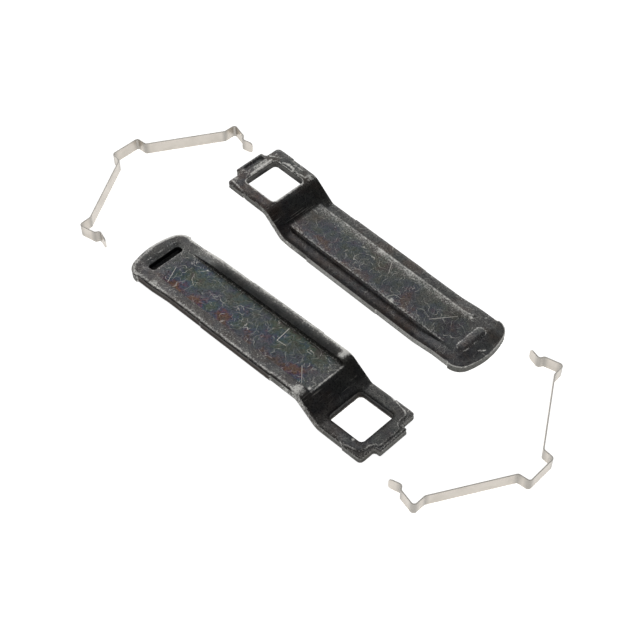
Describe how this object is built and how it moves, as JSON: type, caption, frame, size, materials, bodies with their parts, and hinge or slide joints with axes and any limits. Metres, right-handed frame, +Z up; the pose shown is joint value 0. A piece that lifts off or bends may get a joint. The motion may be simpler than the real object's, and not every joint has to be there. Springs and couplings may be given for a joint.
{
  "type": "disc brake pad retainer kit",
  "caption": "Pressed black steel pad retaining bars with joggled hole plates, laid beside bent stainless strip springs standing on edge.",
  "frame": {"origin": "centre of the kit's footprint, on the surface it lies on", "axes": "+X along the bars, from the end with the rib-up bar's hole plate towards its rounded end; +Z up; +Y across the bars, from the channel-up bar towards the rib-up bar"},
  "size_m": [0.2639, 0.0979, 0.0138],
  "materials": {
    "black_steel": "black oxide, scuffed",
    "spring_steel": "satin"
  },
  "bodies": {
    "rib_up_bar": {"retainer_rib_up": "black_steel"},
    "channel_up_bar": {"retainer_channel_up": "black_steel"},
    "left_spring": {"pad_spring_left": "spring_steel"},
    "right_spring": {"pad_spring_right": "spring_steel"}
  },
  "joints": [
    {"name": "channel_up_bar_lift", "type": "slide", "parent": "rib_up_bar", "child": "channel_up_bar", "axis": [0, 0, 1], "range_m": [0, 0.1]},
    {"name": "left_spring_lift", "type": "slide", "parent": "rib_up_bar", "child": "left_spring", "axis": [0, 0, 1], "range_m": [0, 0.1]},
    {"name": "right_spring_lift", "type": "slide", "parent": "rib_up_bar", "child": "right_spring", "axis": [0, 0, 1], "range_m": [0, 0.1]}
  ]
}
